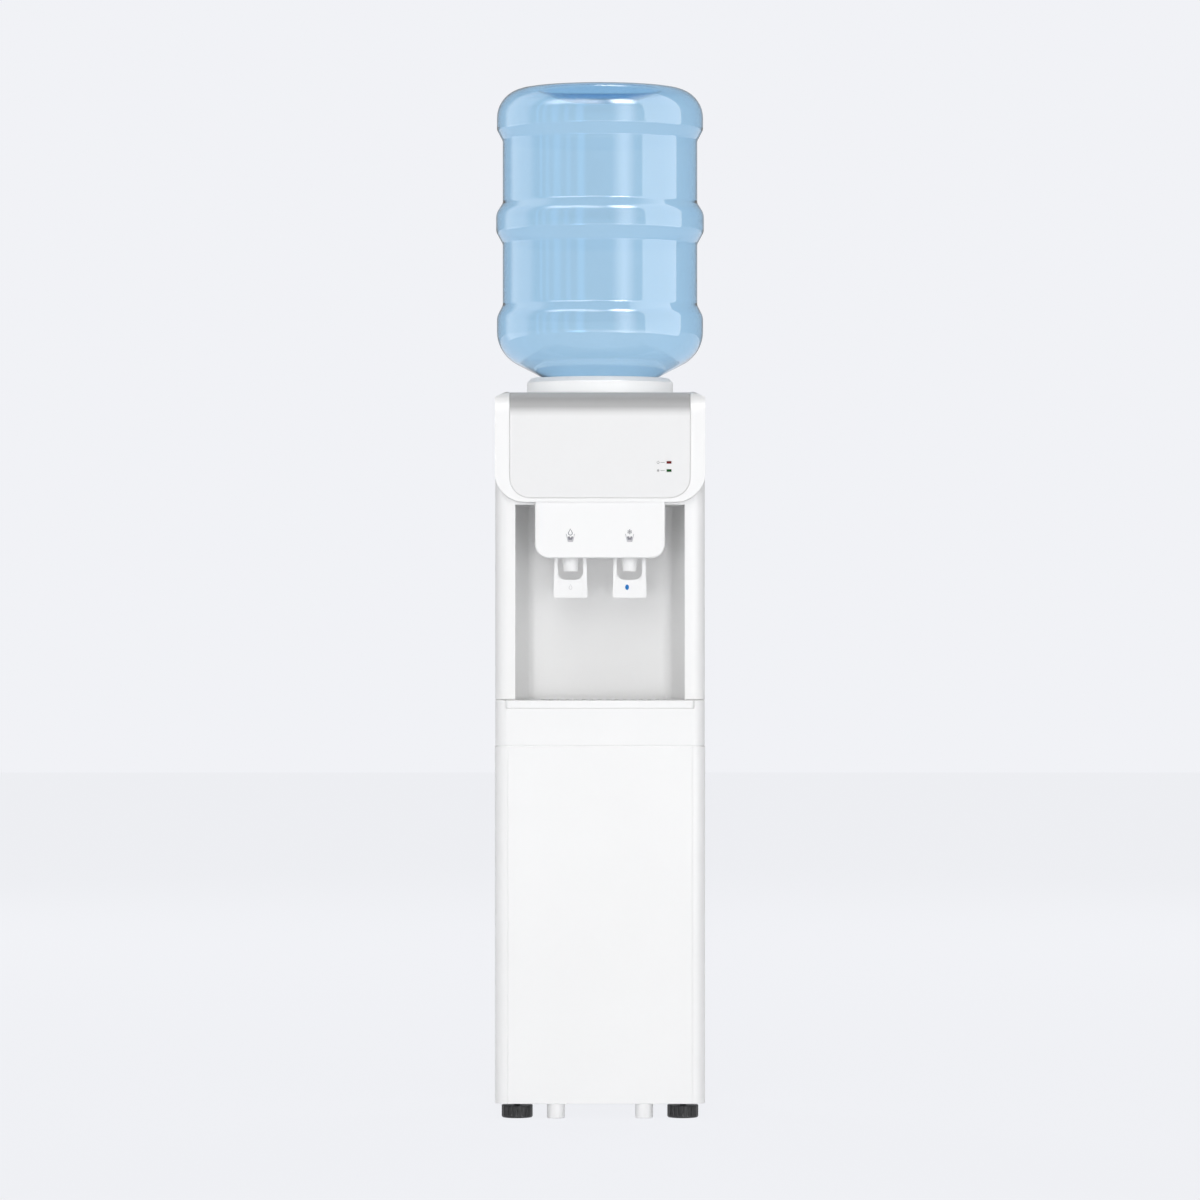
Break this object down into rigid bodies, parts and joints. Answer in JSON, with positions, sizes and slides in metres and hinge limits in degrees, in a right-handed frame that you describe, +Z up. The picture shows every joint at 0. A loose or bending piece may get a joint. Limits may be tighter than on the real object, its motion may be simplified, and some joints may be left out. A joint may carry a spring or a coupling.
{
  "type": "water cooler",
  "caption": "Free-standing white water cooler with an upturned blue bottle on top, push-lever taps in an alcove and a compressor cooling circuit.",
  "frame": {"origin": "on the floor under the middle of the bottle", "axes": "+Z up, -Y towards the person at the taps, +X to that person's right"},
  "size_m": [0.272, 0.31, 1.3358],
  "materials": {
    "white_enamel": "smooth white powder coat",
    "white_plastic": "white satin moulding",
    "panel_grey": "pale silver grey satin",
    "grille_plastic": "pale grey satin",
    "red_lens": "dark red lens, unlit",
    "green_lens": "dark green lens, unlit",
    "circuit_board": "green solder mask",
    "blue_insert": "blue insert",
    "bottle_blue": "clear blue polycarbonate",
    "cap_plastic": "soft white polyethylene",
    "clear_plastic": "natural food-grade plastic",
    "silicone": "milky silicone",
    "stainless": "brushed stainless",
    "foam": "expanded foam",
    "zinc_steel": "zinc-plated sheet",
    "black_enamel": "satin black enamel",
    "copper": "drawn copper",
    "black_rubber": "black moulded rubber",
    "black_plastic": "black moulding",
    "drain_plastic": "pale moulding"
  },
  "bodies": {
    "cabinet": {"alcove_liner": "white_plastic", "ambient_tap_body": "white_plastic", "ambient_valve_spring": "stainless", "back_panel": "zinc_steel", "back_screws": "zinc_steel", "base_fasteners": "zinc_steel", "base_plate": "zinc_steel", "bottle_seat": "white_plastic", "capillary_tube": "copper", "cold_lens": "green_lens", "cold_tank": "stainless", "cold_tap_body": "white_plastic", "cold_valve_spring": "stainless", "compressor": "black_enamel", "condenser_brackets": "zinc_steel", "condenser_tube": "black_enamel", "condenser_wires": "black_enamel", "drain_hose": "silicone", "drain_outlet": "drain_plastic", "evaporator_coil": "copper", "feed_spike": "clear_plastic", "filter_drier": "copper", "front_glides": "white_plastic", "front_panel": "panel_grey", "grommets": "black_rubber", "head_shell": "white_plastic", "indicator_board": "circuit_board", "lower_front_panel": "white_enamel", "mains_inlet": "black_plastic", "power_lens": "red_lens", "rear_feet": "black_rubber", "refrigerant_tubes": "copper", "relay_cover": "black_plastic", "side_panel_left": "white_enamel", "side_panel_right": "white_enamel", "supply_hoses": "silicone", "switch_case": "black_plastic", "tank_baffle": "clear_plastic", "tank_foam_left": "foam", "tank_foam_right": "foam", "tank_shelf": "zinc_steel", "tap_bonnets": "clear_plastic", "tap_housing": "white_plastic", "thermostat": "black_plastic", "top_cover": "white_plastic", "tray_fascia": "white_plastic"},
    "bottle": {"bottle": "bottle_blue", "bottle_cap": "cap_plastic"},
    "ambient_lever": {"ambient_lever": "white_plastic"},
    "cold_lever": {"cold_lever": "white_plastic", "cold_lever_dot": "blue_insert"},
    "ambient_valve": {"ambient_plunger": "silicone"},
    "cold_valve": {"cold_plunger": "silicone"},
    "drip_tray": {"drip_tray": "white_plastic"},
    "drip_grille": {"drip_grille": "grille_plastic"},
    "thermostat_knob": {"thermostat_knob": "black_plastic"},
    "switch_rocker": {"switch_rocker": "black_plastic"},
    "drain_cap": {"drain_cap": "drain_plastic"},
    "levelling_foot_left": {"levelling_foot_left": "black_rubber"},
    "levelling_foot_right": {"levelling_foot_right": "black_rubber"}
  },
  "joints": [
    {"name": "bottle_lift", "type": "slide", "parent": "cabinet", "child": "bottle", "axis": [0, 0, 1], "range_m": [0, 0.12]},
    {"name": "ambient_lever_push", "type": "hinge", "parent": "cabinet", "child": "ambient_lever", "pos_m": [-0.038, -0.134, 0.745], "axis": [1, 0, 0], "range_deg": [0, 12], "stiffness_Nm_per_rad": 0.5, "springref_deg": -11.46},
    {"name": "cold_lever_push", "type": "hinge", "parent": "cabinet", "child": "cold_lever", "pos_m": [0.038, -0.134, 0.745], "axis": [1, 0, 0], "range_deg": [0, 12], "stiffness_Nm_per_rad": 0.5, "springref_deg": -11.46},
    {"name": "ambient_valve_lift", "type": "slide", "parent": "cabinet", "child": "ambient_valve", "axis": [0, 0, 1], "range_m": [0, 0.004], "deforming": ["ambient_valve_spring"]},
    {"name": "cold_valve_lift", "type": "slide", "parent": "cabinet", "child": "cold_valve", "axis": [0, 0, 1], "range_m": [0, 0.004], "deforming": ["cold_valve_spring"]},
    {"name": "tray_lift", "type": "slide", "parent": "cabinet", "child": "drip_tray", "axis": [0, 0, 1], "range_m": [0, 0.05]},
    {"name": "grille_lift", "type": "slide", "parent": "drip_tray", "child": "drip_grille", "axis": [0, 0, 1], "range_m": [0, 0.06]},
    {"name": "thermostat_turn", "type": "hinge", "parent": "cabinet", "child": "thermostat_knob", "pos_m": [0.07, 0.14, 0.857], "axis": [0, 1, 0], "range_deg": [-135, 135]},
    {"name": "switch_rock", "type": "hinge", "parent": "cabinet", "child": "switch_rocker", "pos_m": [-0.07, 0.1345, 0.858], "axis": [1, 0, 0], "range_deg": [0, 14]},
    {"name": "drain_cap_pull", "type": "slide", "parent": "cabinet", "child": "drain_cap", "axis": [0, 1, 0], "range_m": [0, 0.02]},
    {"name": "left_foot_screw", "type": "hinge", "parent": "cabinet", "child": "levelling_foot_left", "pos_m": [-0.1065, -0.128, 0.01], "axis": [0, 0, 1], "continuous": true},
    {"name": "right_foot_screw", "type": "hinge", "parent": "cabinet", "child": "levelling_foot_right", "pos_m": [0.1065, -0.128, 0.01], "axis": [0, 0, 1], "continuous": true}
  ],
  "couplings": [
    {"joint": "ambient_valve_lift", "follows": "ambient_lever_push", "m_per_rad": 0.019},
    {"joint": "cold_valve_lift", "follows": "cold_lever_push", "m_per_rad": 0.019}
  ]
}
